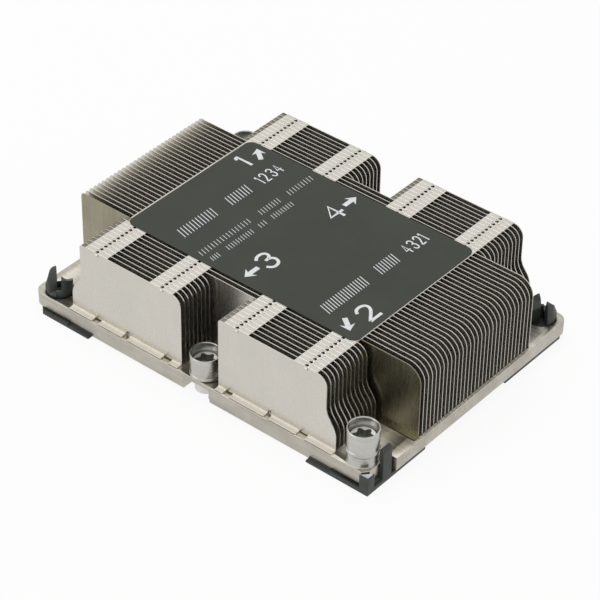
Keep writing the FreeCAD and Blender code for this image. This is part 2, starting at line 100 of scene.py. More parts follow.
def ramp(tree, factor, low, high, first, last):
    """A smooth change between two colours or levels while the factor goes from low to high."""
    made = add(tree, "MapRange", {"Value": factor, "From Min": low, "From Max": high})
    if isinstance(first, (int, float)):
        made.inputs["To Min"].default_value = first
        made.inputs["To Max"].default_value = last
        return made.outputs["Result"]
    mix = add(tree, "Mix", {"Factor": made.outputs["Result"]}, data_type="RGBA")
    mix.inputs["A"].default_value = first
    mix.inputs["B"].default_value = last
    return mix.outputs["Result"]


def bump(tree, height, strength, distance):
    """A bump from a height, with its depth in metres."""
    made = add(tree, "Bump", {"Height": height, "Strength": strength, "Distance": distance})
    return made.outputs["Normal"]


def metal_finish(name, dark, light, rough, streak, streak_scale, cloud_scale, depth,
                 rough_spread=0.08, metal=0.96):
    """Nickel plating: soft clouds of tone, fine streaks left by working, and a faint grain."""
    finish, tree, shader, place = blank_finish(name)
    cloud = stretched_noise(tree, place, EVEN, cloud_scale, 4.0)
    lines = stretched_noise(tree, place, streak, streak_scale, 5.0, 0.7)
    grain = stretched_noise(tree, place, EVEN, 5200, 2.0)
    mixed = add(tree, "Math", {0: cloud, 1: lines}, operation="ADD").outputs[0]
    tone = ramp(tree, mixed, 0.7, 1.3, linear(dark), linear(light))
    tree.links.new(tone, shader.inputs["Base Color"])
    tree.links.new(ramp(tree, lines, 0.3, 0.7, rough - rough_spread, rough + rough_spread),
                   shader.inputs["Roughness"])
    height = add(tree, "Math", {0: lines, 1: grain}, operation="ADD").outputs[0]
    tree.links.new(bump(tree, height, 0.35, depth), shader.inputs["Normal"])
    shader.inputs["Metallic"].default_value = metal
    return finish


# How the streaks are drawn out: not at all, upwards, along the plate, and round an upright axis.
EVEN = (1.0, 1.0, 1.0)
UPRIGHT = (1.0, 1.0, 0.1)
LENGTHWISE = (0.05, 1.0, 1.0)
RINGS = (0.02, 0.02, 1.0)

fin_finish = metal_finish("nickel_sheet", "C9C5BC", "CFCBC3", 0.27, UPRIGHT, 700, 120, 0.0000003,
                          rough_spread=0.03, metal=0.94)
# A darker copy of the sheet finish: painted shade and dark reflections for the foremost full fin.
shaded_sheet_finish = metal_finish("nickel_sheet_painted_shade", "88846F", "9F9A86", 0.27, UPRIGHT, 700, 120, 0.0000003,
                            rough_spread=0.03)
# Tinned feet, with their colour also painted paler to stand for the light their tops catch beside the wall.
tinned_lit_foot_finish = metal_finish("tinned_foot_painted_light", "DDD7CB", "E8E3D8", 0.5, EVEN, 900, 300, 0.000002,
                           rough_spread=0.05, metal=0.35)
plate_finish = metal_finish("nickel_plate", "A39E93", "C4BFB4", 0.34, LENGTHWISE, 900, 150, 0.0000025)
sleeve_finish = metal_finish("turned_sleeve", "AEADA7", "C6C5C0", 0.26, RINGS, 1600, 200, 0.0000005)
nut_finish = metal_finish("bright_nut", "D4D3D0", "E0DFDD", 0.3, EVEN, 900, 300, 0.0000008,
                          rough_spread=0.04, metal=0.65)
# Darker finish for the socket lining: painted shade in the recess.
socket_shade_finish = metal_finish("nut_socket_painted_shade", "8A8E88", "979A93", 0.42, EVEN, 900, 300, 0.0000008,
                             rough_spread=0.04, metal=0.75)
# Dark grey finish for small blocks painted as shade in cut nicks and in the gaps between fins.
nick_shade_finish = metal_finish("painted_nick_shade", "777165", "837D71", 0.4, EVEN, 900, 300, 0.000002)
# Dark finish for the joints, partly solder and partly painted shadow under the feet.
joint_and_shadow_finish = metal_finish("dark_joint_and_shadow", "453F33", "565045", 0.5, EVEN, 900, 300, 0.000004)


def plastic_finish():
    """Black moulded plastic with a fine spark-eroded grain and paler rubbed patches."""
    finish, tree, shader, place = blank_finish("black_plastic")
    cloud = stretched_noise(tree, place, EVEN, 140, 4.0)
    grain = stretched_noise(tree, place, EVEN, 3600, 2.0)
    tone = ramp(tree, cloud, 0.35, 0.65, linear("363A37"), linear("454A47"))
    tree.links.new(tone, shader.inputs["Base Color"])
    tree.links.new(ramp(tree, grain, 0.3, 0.7, 0.38, 0.52), shader.inputs["Roughness"])
    tree.links.new(bump(tree, grain, 0.4, 0.00002), shader.inputs["Normal"])
    shader.inputs["Specular IOR Level"].default_value = 0.35
    return finish


def film_finish():
    """Dark satin film: slight clouds of tone and a fine tooth."""
    finish, tree, shader, place = blank_finish("dark_film")
    cloud = stretched_noise(tree, place, EVEN, 60, 3.0)
    tooth = stretched_noise(tree, place, EVEN, 2600, 2.0)
    both = add(tree, "Math", {0: cloud, 1: tooth}, operation="ADD").outputs[0]
    tone = ramp(tree, both, 0.7, 1.3, linear("363932"), linear("3F423B"))
    tree.links.new(tone, shader.inputs["Base Color"])
    tree.links.new(ramp(tree, tooth, 0.3, 0.7, 0.5, 0.62), shader.inputs["Roughness"])
    tree.links.new(bump(tree, tooth, 0.25, 0.00001), shader.inputs["Normal"])
    shader.inputs["Specular IOR Level"].default_value = 0.2
    return finish


def ink_finish():
    """White print, a touch uneven where the film shows through."""
    finish, tree, shader, place = blank_finish("white_print")
    tooth = stretched_noise(tree, place, EVEN, 2400, 3.0)
    tone = ramp(tree, tooth, 0.3, 0.7, linear("D6D9DD"), linear("E6E8EC"))
    tree.links.new(tone, shader.inputs["Base Color"])
    shader.inputs["Roughness"].default_value = 0.55
    shader.inputs["Specular IOR Level"].default_value = 0.2
    return finish


def glint_plastic_finish():
    """Plastic painted pale with a cool tint, as a glint of light."""
    finish, tree, shader, place = blank_finish("painted_glint_plastic")
    cloud = stretched_noise(tree, place, EVEN, 900, 3.0)
    tone = ramp(tree, cloud, 0.35, 0.65, linear("B9BFD2"), linear("EDEFF7"))
    tree.links.new(tone, shader.inputs["Base Color"])
    shader.inputs["Roughness"].default_value = 0.3
    return finish


black_finish = plastic_finish()
# The corner posts' tops get a painted glint.
post_glint_finish = glint_plastic_finish()
label_finish = film_finish()
print_finish = ink_finish()


# Making pieces

def finish_piece(name, bm, finish, replaced=(), body="heatsink", smooth=35, metres=False):
    """Brings a bmesh to metres and puts it in the scene as one piece that rides on a body."""
    if not metres:
        bmesh.ops.scale(bm, vec=(MM, MM, MM), verts=bm.verts)
    mesh = bpy.data.meshes.new(name)
    bm.to_mesh(mesh)
    bm.free()
    for face in mesh.polygons:
        face.use_smooth = True
    mesh.set_sharp_from_angle(angle=math.radians(smooth))
    mesh.materials.append(finish)
    piece = bpy.data.objects.new(name, mesh)
    bpy.context.scene.collection.objects.link(piece)
    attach(piece, body)
    if replaced:
        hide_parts(*replaced)
    return piece


def flat_face(bm, corners, place):
    """A flat face from its corners: two lengths each, then how far a rounding reaches, and its steps."""
    verts = [bm.verts.new(place(corner[0], corner[1])) for corner in corners]
    bm.faces.new(verts)
    for vert, (_, _, reach, *steps) in zip(verts, corners):
        if reach:
            bmesh.ops.bevel(bm, geom=[vert], offset=reach, segments=steps[0], profile=0.5,
                            affect="VERTICES", clamp_overlap=False, material=-1)
    return bm.faces[:]


def thicken(bm, faces, step):
    """Draws faces out into a solid along a step."""
    made = bmesh.ops.extrude_face_region(bm, geom=faces)
    moved = [item for item in made["geom"] if isinstance(item, bmesh.types.BMVert)]
    bmesh.ops.translate(bm, vec=step, verts=moved)


def merge_in(target, part):
    """Adds a part's mesh to another one and frees the part."""
    mesh = bpy.data.meshes.new("part")
    bmesh.ops.recalc_face_normals(part, faces=part.faces)
    part.to_mesh(mesh)
    target.from_mesh(mesh)
    bpy.data.meshes.remove(mesh)
    part.free()


def block(bm, low, high, eased=0.0):
    """A box between two corners, with its edges eased."""
    part = bmesh.new()
    middle = [(a + b) / 2 for a, b in zip(low, high)]
    size = [b - a for a, b in zip(low, high)]
    bmesh.ops.create_cube(part, size=1.0)
    bmesh.ops.scale(part, vec=size, verts=part.verts)
    bmesh.ops.translate(part, vec=middle, verts=part.verts)
    if eased:
        bmesh.ops.bevel(part, geom=part.edges[:], offset=eased, segments=1, profile=0.5,
                        affect="EDGES", clamp_overlap=False, material=-1)
    merge_in(bm, part)


def sharp_edges(bm, least):
    """The edges whose two faces meet at more than the least angle, in degrees."""
    paired = [e for e in bm.edges if len(e.link_faces) == 2]
    return [e for e in paired if e.calc_face_angle(0.0) > math.radians(least)]


def eased_copy(node, offset):
    """A merged copy of a CAD node with its sharp edges eased, in metres."""
    bm = bmesh.new()
    bm.from_mesh(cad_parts[node].data)
    bmesh.ops.remove_doubles(bm, verts=bm.verts, dist=1e-6)
    bmesh.ops.dissolve_limit(bm, angle_limit=math.radians(0.6), verts=bm.verts[:], edges=bm.edges[:],
                             use_dissolve_boundaries=False)
    bmesh.ops.recalc_face_normals(bm, faces=bm.faces)
    bmesh.ops.bevel(bm, geom=sharp_edges(bm, 28), offset=offset * MM, segments=2, profile=0.5,
                    affect="EDGES", clamp_overlap=True, material=-1)
    return bm


# Fins

# Half the length of a full fin, of a short fin at the plate and at its top, and where short fins begin.
FULL_END = 53.4
BLOCK_FOOT = 41.8
BLOCK_END = 38.7
BLOCK_INNER = 5.85
# Each band of tabs: its left and right ends, and the middle of the holes in it.
LEFT_BANDS = ((-36.9, -29.7, -33.3), (-15.9, -8.6, -12.25))
RIGHT_BANDS = ((7.6, 15.05, 11.3), (28.8, 35.7, 32.25))
# How far the foremost feet reach forward.
FRONT_REACH = 1.5
# The tabs' top at the fold, how much a tab climbs towards its front, and how far folds are eased.
TAB_TOP = FIN_HIGH + 0.006
TAB_RISE = 0.045
SHARP_FOLD = 0.03
SOFT_FOLD = 0.22
# The rows whose tabs are in sight.
TOP_ROWS = (*range(2, 12), *range(43, 54))
# The foremost sheets' feet from left to right, and where their notches are.
FRONT_FEET = {
    "fins_front_left": (((-41.8, -34.2), (-32.1, -24.3), (-22.6, -11.5), (-8.9, -6.1)), (-23.4,)),
    "fins_front_right": (((5.9, 8.3), (10.5, 21.1), (22.5, 30.9), (33.6, 41.8)), (21.8,)),
}


def row_back(row):
    """Where the back face of a row's sheet stands."""
    return 39.0 - PITCH * (53 - row)


def strip_front(row):
    """Where a strip folded forward from a row's sheet ends."""
    return row_back(row) - SHEET - FOLD_REACH


def flare_right():
    """The corners where a short fin widens towards the plate, upwards on its right side."""
    return [(BLOCK_FOOT, 5.9, 1.6, 4), (BLOCK_END, 9.9, 1.6, 4)]


def flare_left():
    """The same on its left side, downwards."""
    return [(-BLOCK_END, 9.9, 1.6, 4), (-BLOCK_FOOT, 5.9, 1.6, 4)]


def left_outline():
    """A short fin left of the middle nuts, from its lower left corner round."""
    return [(-BLOCK_FOOT, 0, 0), (-BLOCK_INNER, 0, 0), (-BLOCK_INNER, FIN_HIGH, 3.0, 6),
            (-BLOCK_END, FIN_HIGH, 0.6, 3), *flare_left()]


def right_outline():
    """A short fin right of the middle nuts."""
    return [(BLOCK_INNER, 0, 0), (BLOCK_FOOT, 0, 0), *flare_right(), (BLOCK_END, FIN_HIGH, 3.0, 6),
            (BLOCK_INNER, FIN_HIGH, 0.6, 3)]


def bridge_outline():
    """A fin that bridges the gap beside a middle nut."""
    return [(-BLOCK_FOOT, 0, 0), (BLOCK_FOOT, 0, 0), *flare_right(), (BLOCK_END, FIN_HIGH, 3.0, 6),
            (-BLOCK_END, FIN_HIGH, 1.0, 3), *flare_left()]


def full_outline():
    """A full-length fin."""
    return [(-FULL_END, 0, 0), (FULL_END, 0, 0), (FULL_END, FIN_HIGH, 4.5, 8),
            (-FULL_END, FIN_HIGH, 1.0, 3)]


def notched(outline, spots):
    """The outline with small arched notches in its lower edge, right after the first corner."""
    half, high = 0.45, 1.45
    arches = []
    for x in spots:
        arches += [(x - half, 0, 0), (x - half, high, 0.4, 3), (x + half, high, 0.4, 3), (x + half, 0, 0)]
    return [outline[0], *arches, *outline[1:]]


def sheet_wall(bm, outline, row):
    """One fin's upright sheet."""
    part = bmesh.new()
    back = row_back(row)
    faces = flat_face(part, outline, lambda x, z: (x, back, BASE_TOP + z))
    thicken(part, faces, (0, -SHEET, 0))
    rolled = [e for e in part.edges if all(abs(v.co.y - back) < 1e-4 for v in e.verts)]
    bmesh.ops.bevel(part, geom=rolled, offset=0.08, segments=1, profile=0.5, affect="EDGES",
                    clamp_overlap=False, material=-1)
    merge_in(bm, part)


def ease_edge(bm, place, height, offset):
    """Eases the edge that runs along X at a place and height."""
    def lies_there(vert):
        return abs(vert.co.y - place) < 1e-4 and abs(vert.co.z - height) < 1e-4

    edge = [e for e in bm.edges if all(lies_there(v) for v in e.verts)]
    bmesh.ops.bevel(bm, geom=edge, offset=offset, segments=1, profile=0.5, affect="EDGES",
                    clamp_overlap=False, material=-1)


def folded_strip(bm, left, right, row, at_top):
    """A plain strip folded forward from a fin's foot or top, eased where it leaves the sheet."""
    part = bmesh.new()
    back = row_back(row)
    front = strip_front(row)
    low = BASE_TOP + (TAB_TOP - SHEET if at_top else 0)
    middle = ((left + right) / 2, (front + back) / 2, low + SHEET / 2)
    bmesh.ops.create_cube(part, size=1.0)
    bmesh.ops.scale(part, vec=(right - left, back - front, SHEET), verts=part.verts)
    bmesh.ops.translate(part, vec=middle, verts=part.verts)
    if at_top:
        ease_edge(part, back, low + SHEET, SHARP_FOLD)
    else:
        ease_edge(part, back, low, SOFT_FOLD)
    merge_in(bm, part)


def tab_band(bm, band, row):
    """One fin's top tab, pierced in its middle, with the tongue that dips into the hole."""
    left, right, middle = band
    back = row_back(row)
    front = strip_front(row)
    hole_left = middle - 0.45
    hole_right = middle + 0.42
    top = BASE_TOP + TAB_TOP
    outline = [(left, back, 0), (left, front, 0), (hole_left, front, 0), (hole_left, back - 0.9, 0),
               (middle - 0.1, back - 0.48, 0), (hole_right, back - 0.55, 0), (hole_right, front, 0),
               (right, front, 0), (right, back, 0)]
    part = bmesh.new()
    faces = flat_face(part, outline, lambda x, y: (x, y, top - SHEET))
    thicken(part, faces, (0, 0, SHEET))
    ease_edge(part, back, top, SHARP_FOLD)
    ease_edge(part, front, top, 0.05)
    for vert in part.verts:
        vert.co.z += TAB_RISE * (back - vert.co.y) / PITCH
    merge_in(bm, part)
    block(bm, (hole_left - 0.01, front, top - SHEET), (hole_right + 0.01, front + 0.14, top))
    raise_tongue(bm, middle, back)


def raise_tongue(bm, middle, back):
    """The tongue that locks a tab to the one before it, dipping forward and to the right."""
    part = bmesh.new()
    dip = Matrix.Rotation(math.radians(4), 3, "Y") @ Matrix.Rotation(math.radians(7), 3, "X")
    bmesh.ops.create_cube(part, size=1.0)
    bmesh.ops.scale(part, vec=(0.34, 0.26, 0.1), verts=part.verts)
    bmesh.ops.rotate(part, cent=(0, 0, 0), matrix=dip, verts=part.verts)
    bmesh.ops.translate(part, vec=(middle + 0.34, back - 0.6, BASE_TOP + FIN_HIGH + 0.01), verts=part.verts)
    merge_in(bm, part)


def make_nick_shades():
    """Small dark blocks painted as the shade in the two nicks beside each tongue, where the fold is cut."""
    bm = bmesh.new()
    top = BASE_TOP + FIN_HIGH
    for row in TOP_ROWS:
        back = row_back(row)
        for _, _, middle in LEFT_BANDS + RIGHT_BANDS:
            for place, width in ((middle - 0.8, 0.42), (middle + 1.1, 0.5)):
                block(bm, (place - width / 2, back - 0.26, top - 0.1),
                      (place + width / 2, back - 0.1, top + 0.02))
    finish_piece("fold_nick_shades", bm, nick_shade_finish)


def add_gap_shades(bm, rows, left, right):
    """Short grey blocks between a fin's left end and its first tab, just under the top, painted as the
    shade in the gaps between the fins.
    """
    top = BASE_TOP + FIN_HIGH
    for row in rows:
        block(bm, (left, strip_front(row) + 0.12, top - 0.4),
              (right, row_back(row) - SHEET - 0.12, top - 0.15))


def make_gap_shades():
    """The painted gap shades of every row with tabs, on the left of each stack."""
    bm = bmesh.new()
    add_gap_shades(bm, TOP_ROWS, -38.45, LEFT_BANDS[0][0])
    add_gap_shades(bm, (*range(2, 9), *range(46, 54)), 6.05, RIGHT_BANDS[0][0])
    finish_piece("end_gap_shades", bm, nick_shade_finish)


def add_rows(bm, rows, outline, foot, bands):
    """Like fins one row apart, each with its foot and top tabs."""
    for row in rows:
        sheet_wall(bm, outline, row)
        folded_strip(bm, *foot, row, False)
        for band in bands:
            tab_band(bm, band, row)


def front_feet(side, feet, spots):
    """The foremost sheet's short feet, tinned and painted paler for the light on their tops, each with its
    bend, and the bump inside each notch.
    """
    bm = bmesh.new()
    wall = row_back(1) - SHEET
    toe = wall - FRONT_REACH
    bend = 0.42
    section = [(wall + 0.05, 0, 0), (toe, 0, 0), (toe, SHEET - 0.08, 0), (toe + 0.08, SHEET, 0),
               (wall - bend, SHEET, 0)]
    section += [(wall - bend + bend * math.sin(a), SHEET + bend - bend * math.cos(a), 0)
                for a in (math.pi / 6, math.pi / 3, math.pi / 2)]
    section += [(wall + 0.05, SHEET + bend, 0)]
    for left, right in feet:
        part = bmesh.new()
        faces = flat_face(part, section, lambda y, z: (left, y, BASE_TOP + z))
        thicken(part, faces, (right - left, 0, 0))
        merge_in(bm, part)
    for x in spots:
        block(bm, (x - 0.2, wall - 0.02, BASE_TOP + 0.35), (x + 0.16, wall + 0.25, BASE_TOP + 1.0), 0.1)
    finish_piece(f"front_feet_{len(feet)}_{side}", bm, tinned_lit_foot_finish)


def front_fin(bm, node, outline, bands):
    """The foremost sheet: it has no tabs, only its tongues, and its foot is broken into short lengths."""
    feet, spots = FRONT_FEET[node]
    sheet_wall(bm, notched(outline, spots), 1)
    front_feet(node.split("_")[-1], feet, spots)
    wall = row_back(1) - SHEET
    top = BASE_TOP + FIN_HIGH
    for _, _, middle in bands:
        block(bm, (middle - 0.1, wall - 0.28, top - 0.75), (middle + 0.75, wall + 0.05, top - 0.05), 0.08)


def make_fins():
    """All 53 rows."""
    left = (left_outline(), (-BLOCK_FOOT, -BLOCK_INNER), LEFT_BANDS)
    right = (right_outline(), (BLOCK_INNER, BLOCK_FOOT), RIGHT_BANDS)
    blocks = (
        ("fins_front_left", range(2, 9), left),
        ("fins_front_right", range(2, 9), right),
        ("fins_back_left", range(46, 54), left),
        ("fins_back_right", range(46, 54), right),
    )
    for node, rows, (outline, foot, bands) in blocks:
        bm = bmesh.new()
        add_rows(bm, rows, outline, foot, bands)
        if node in FRONT_FEET:
            front_fin(bm, node, outline, bands)
        finish_piece(node + "_sheets", bm, fin_finish, (node,))
    bridge = (bridge_outline(), (-BLOCK_FOOT, BLOCK_FOOT), LEFT_BANDS + RIGHT_BANDS)
    for side, first in (("front", 9), ("back", 43)):
        for index in range(3):
            node = f"fin_bridge_{side}_{index + 1}"
            bm = bmesh.new()
            add_rows(bm, [first + index], *bridge)
            finish_piece(node + "_sheet", bm, fin_finish, (node,))
    for index in range(31):
        full_row(f"fin_full_{index + 1:02d}", 12 + index)
    make_nick_shades()
    make_gap_shades()
    make_front_joint_shadows()


def full_row(node, row):
    """A full-length fin, with the tabs that run under the label's ends; the foremost one gets a darker copy
    of the sheet finish as painted shade.
    """
    bm = bmesh.new()
    sheet_wall(bm, full_outline(), row)
    folded_strip(bm, -FULL_END, FULL_END, row, False)
    for left, right, _ in (LEFT_BANDS[0], RIGHT_BANDS[1]):
        folded_strip(bm, left, right, row, True)
    finish_piece(node + "_sheet", bm, shaded_sheet_finish if row == 12 else fin_finish, (node,))


def make_front_joint_shadows():
    """Dark strips where the feet meet the plate: soldered joints, darkened further as painted shadow under
    the feet's front edges and in the corners between them.
    """
    bm = bmesh.new()
    wall = row_back(1) - SHEET
    toe = wall - FRONT_REACH
    for feet, _ in FRONT_FEET.values():
        for left, right in feet:
            block(bm, (left + 0.1, toe - 0.1, BASE_TOP), (right - 0.1, toe + 0.2, BASE_TOP + 0.11))
        for (_, left), (right, _) in zip(feet, feet[1:]):
            if right - left > 1.8:
                block(bm, (left + 0.1, wall - 0.04, BASE_TOP), (right - 0.1, wall + 0.1, BASE_TOP + 0.32))
    bridge = strip_front(9)
    block(bm, (-BLOCK_INNER, bridge - 0.1, BASE_TOP), (BLOCK_INNER, bridge + 0.2, BASE_TOP + 0.1))
    full = strip_front(12)
    for left, right in ((-FULL_END, -BLOCK_FOOT), (BLOCK_FOOT, FULL_END)):
        block(bm, (left + 0.1, full - 0.12, BASE_TOP), (right - 0.1, full + 0.2, BASE_TOP + 0.1))
    finish_piece("solder_joint_shadows", bm, joint_and_shadow_finish)


# Plate and carrier

def make_plate():
    """The plate with its edges eased as ground and plated stock has them."""
    finish_piece("plate", eased_copy("base_plate", 0.12), plate_finish, ("base_plate",),
                 smooth=40, metres=True)


# Each latch's middle along X and Y, the room round it, and where its prongs start under the plate's top.
LATCH = (48.6, 34.7)
LATCH_ROOM = 5.0
LATCH_FOOT = -1.5
SLOT_TURN = math.radians(44)


def make_post_tops():
    """A pale sheet on the top of each corner post, painted as the glint where the light catches it."""
    post_x, post_y, post_side = 53.3, 39.7, 2.6
    rim, corner = 0.14, 0.35
    top = BASE_TOP - 0.1
    bm = bmesh.new()
    for sign in (-1, 1):
        part = bmesh.new()
        corners = [(sign * (post_x - post_side + corner), -sign * (post_y - rim), 0.15, 2),
                   (sign * (post_x - rim), -sign * (post_y - rim), 0.15, 2),
                   (sign * (post_x - rim), -sign * (post_y - post_side + corner), 0.15, 2)]
        faces = flat_face(part, corners, lambda x, y: (x, y, top))
        thicken(part, faces, (0, 0, 0.06))
        merge_in(bm, part)
    finish_piece("post_tops", bm, post_glint_finish)


def make_carrier():
    """The moulded carrier with softened edges, its latches, and its upstand under the plate's ends."""
    bm = eased_copy("carrier", 0.12)
    bmesh.ops.scale(bm, vec=(1 / MM, 1 / MM, 1 / MM), verts=bm.verts)
    for side, turn in ((-1, 0), (1, 180)):
        x, y = side * LATCH[0], side * LATCH[1]
        trim_above(bm, (x, y), LATCH_ROOM, BASE_TOP + LATCH_FOOT)
        merge_in(bm, make_latch(x, y, turn))
    for number in ("1", "2"):
        x, y = NUTS[number][:2]
        merge_in(bm, turned([(2.95, 0.85), (3.85, 0.85), (3.85, 1.12), (2.95, 1.12)], (x, y, 0), 48))
    for side in (-1, 1):
        for end in (-1, 1):
            upstand(bm, side, end)
    finish_piece("carrier_moulding", bm, black_finish, ("carrier",), smooth=40)


def trim_above(bm, centre, reach, level):
    """Cuts away what stands above a level near a centre."""
    near = [f for f in bm.faces if all(math.dist(v.co.xy, centre) < reach for v in f.verts)]
    geometry = list(dict.fromkeys(item for f in near for item in (*f.verts, *f.edges, f)))
    bmesh.ops.bisect_plane(bm, geom=geometry, dist=1e-5, plane_co=(0, 0, level), plane_no=(0, 0, 1))
    above = [v for v in bm.verts if v.co.z > level + 1e-4 and math.dist(v.co.xy, centre) < reach]
    bmesh.ops.delete(bm, geom=above, context="VERTS")


def upstand(bm, side, end):
    """The low wall that fills the gap between the carrier and one corner of the plate."""
    edge_x, edge_y = 52.6, 38.2
    low, high, thick = 1.1, 1.84, 0.8
    long_wall = sorted((side * 35.6, side * (edge_x - 2.5)))
    short_wall = sorted((end * 20.0, end * (edge_y - 2.0)))
    across = sorted((end * (edge_y - thick), end * edge_y))
    along = sorted((side * (edge_x - thick), side * edge_x))
    block(bm, (long_wall[0], across[0], low), (long_wall[1], across[1], high))
    block(bm, (along[0], short_wall[0], low), (along[1], short_wall[1], high))


def sector(section, first, last, steps):
    """A section in radius and height swept from one angle to another as a solid."""
    bm = bmesh.new()
    start = math.radians(first)
    verts = [bm.verts.new((r * math.cos(start), r * math.sin(start), z)) for r, z in section]
    face = bm.faces.new(verts)
    bmesh.ops.spin(bm, geom=verts + face.edges[:] + [face], cent=(0, 0, 0), axis=(0, 0, 1),
                   dvec=(0, 0, 0), angle=math.radians(last - first), steps=steps,
                   use_merge=False, use_duplicate=False)
    bmesh.ops.recalc_face_normals(bm, faces=bm.faces)
    return bm


def split_at(bm, place):
    """Cuts a prong off flat along the latch's slot, and keeps the side away from the slot."""
    across = Vector((math.cos(SLOT_TURN), math.sin(SLOT_TURN), 0))
    bmesh.ops.bisect_plane(bm, geom=bm.verts[:] + bm.edges[:] + bm.faces[:], dist=1e-5,
                           plane_co=across * place, plane_no=across,
                           clear_outer=place < 0, clear_inner=place > 0)
    bmesh.ops.holes_fill(bm, edges=[e for e in bm.edges if e.is_boundary], sides=0)


def make_latch(x, y, turn):
    """A split latch: a tall barbed prong with a sloping shoulder, a short one, and the web between them."""
    low = LATCH_FOOT - 0.3
    tall_top, short_top, barb_top = 5.7, 5.2, 0.9
    tall = sector([(0.5, low), (3.5, low), (3.5, 0.2), (3.8, 1.0), (3.75, 1.8), (3.05, 5.3), (2.9, 5.6),
                   (2.6, tall_top), (0.5, tall_top)], 148, 296, 20)
    for vert in tall.verts:
        angle = math.degrees(math.atan2(vert.co.y, vert.co.x)) % 360
        shoulder = tall_top - max(0.0, angle - 178) * 0.05
        vert.co.z = min(vert.co.z, max(shoulder, barb_top))
    split_at(tall, -0.9)
    short = sector([(0.1, low), (3.2, low), (3.15, 4.9), (3.0, short_top), (0.2, short_top), (0.1, 4.8)],
                   -40, 60, 12)
    for vert in short.verts:
        angle = math.degrees(math.atan2(vert.co.y, vert.co.x))
        shoulder = short_top - max(0.0, angle + 32) * 0.025
        vert.co.z = min(vert.co.z, shoulder)
    split_at(short, 0.3)
    web = sector([(2.3, low), (3.2, low), (3.2, 1.7), (3.1, 1.8), (2.3, 1.8)], 294, 322, 4)
    floor = turned([(0.2, low - 0.4), (3.6, low - 0.4), (3.6, low), (0.2, low)], (0, 0, 0), 24)
    for part in (short, web, floor):
        merge_in(tall, part)
    about = Matrix.Rotation(math.radians(turn), 3, "Z")
    bmesh.ops.rotate(tall, cent=(0, 0, 0), matrix=about, verts=tall.verts)
    bmesh.ops.translate(tall, vec=(x, y, BASE_TOP), verts=tall.verts)
    return tall


# Sleeves and nuts

# A star socket's depth, the radius it is turned with, and its radius between the lobes and at their tips.
SOCKET_DEPTH = 1.9
SOCKET_REACH = 2.4
STAR_WAIST = 1.95
STAR_TIP = 2.8
BORE = 1.65


def turned(section, centre, steps=64):
    """A section in radius and height turned full circle about an upright axis."""
    bm = bmesh.new()
    verts = [bm.verts.new((r, 0, z)) for r, z in section]
    edges = [bm.edges.new(pair) for pair in zip(verts, verts[1:] + verts[:1])]
    bmesh.ops.spin(bm, geom=verts + edges, cent=(0, 0, 0), axis=(0, 0, 1), dvec=(0, 0, 0),
                   angle=math.tau, steps=steps, use_merge=True, use_duplicate=False)
    bmesh.ops.remove_doubles(bm, verts=bm.verts, dist=1e-5)
    bmesh.ops.recalc_face_normals(bm, faces=bm.faces)
    bmesh.ops.translate(bm, vec=centre, verts=bm.verts)
    return bm


def make_sleeve(number):
    """One turned sleeve: spigot, collar where it is tall, bead, thin cup with an eased rim."""
    x, y, collar, spigot = NUTS[number]
    rim = collar + 6.25
    section = [(2.63, -spigot), (3.3, -spigot), (3.3, 0)]
    if collar:
        section += [(3.86, 0), (3.9, 0.1), (3.9, 0.32), (3.74, 0.4), (3.74, collar - 0.3),
                    (3.5, collar - 0.22), (3.5, collar - 0.08)]
    section += [
        (3.9, collar + 0.04), (4.1, collar + 0.2), (4.12, collar + 0.5), (4.04, collar + 0.78),
        (3.95, collar + 0.86), (3.97, collar + 1.0), (3.97, rim - 0.1), (3.88, rim), (3.68, rim),
        (3.56, rim - 0.16), (3.5, collar + 0.85), (3.4, collar + 0.75), (2.63, collar + 0.75),
    ]
    return turned(section, (x, y, BASE_TOP))


def press_star(bm):
    """Pushes a socket's round wall in and out to a star with six rounded lobes."""
    for vert in bm.verts:
        if SOCKET_REACH - 0.1 < math.hypot(vert.co.x, vert.co.y) < SOCKET_REACH + 0.05:
            swing = 0.5 - 0.5 * math.cos(6 * math.atan2(vert.co.y, vert.co.x))
            stretch = (STAR_WAIST + (STAR_TIP - STAR_WAIST) * swing ** 1.25) / SOCKET_REACH
            vert.co.x *= stretch
            vert.co.y *= stretch


def make_socket_shade(number):
    """A darker lining on the wall and floor of one star socket, painted as the shade in its recess."""
    x, y, collar, _ = NUTS[number]
    top = collar + 3.7
    low = top - SOCKET_DEPTH + 0.06
    outside = SOCKET_REACH - 0.015
    inside = SOCKET_REACH - 0.04
    section = [(0.05, low), (outside, low), (outside, top), (inside, top), (inside, low + 0.03),
               (0.05, low + 0.03)]
    bm = turned(section, (0, 0, 0), 72)
    press_star(bm)
    bmesh.ops.translate(bm, vec=(x, y, BASE_TOP), verts=bm.verts)
    finish_piece(f"nut_{number}_socket", bm, socket_shade_finish, body=f"nut_{number}")


def make_nut(number):
    """One captive nut: a round head with a star socket, a neck and a threaded bore."""
    x, y, collar, spigot = NUTS[number]
    face = collar + 3.75
    seat = collar + 0.8
    floor = face - SOCKET_DEPTH
    foot = -4.7
    shank_top = -spigot - 0.08
    section = [(BORE, foot), (2.6, foot), (2.8, foot + 0.2), (2.8, shank_top), (2.55, shank_top),
               (2.55, seat), (3.42, seat), (3.42, face - 0.35), (3.1, face), (SOCKET_REACH, face),
               (SOCKET_REACH, floor), (BORE, floor)]
    bm = turned(section, (0, 0, 0), 72)
    press_star(bm)
    reach = BORE + 0.05
    web = [(0.05, floor - 0.1), (reach, floor - 0.1), (reach, floor), (0.05, floor)]
    merge_in(bm, turned(web, (0, 0, 0), 24))
    bmesh.ops.translate(bm, vec=(x, y, BASE_TOP), verts=bm.verts)
    finish_piece(f"nut_{number}_turned", bm, nut_finish, (f"captive_nut_{number}",),
                 body=f"nut_{number}", smooth=30)
    make_socket_shade(number)


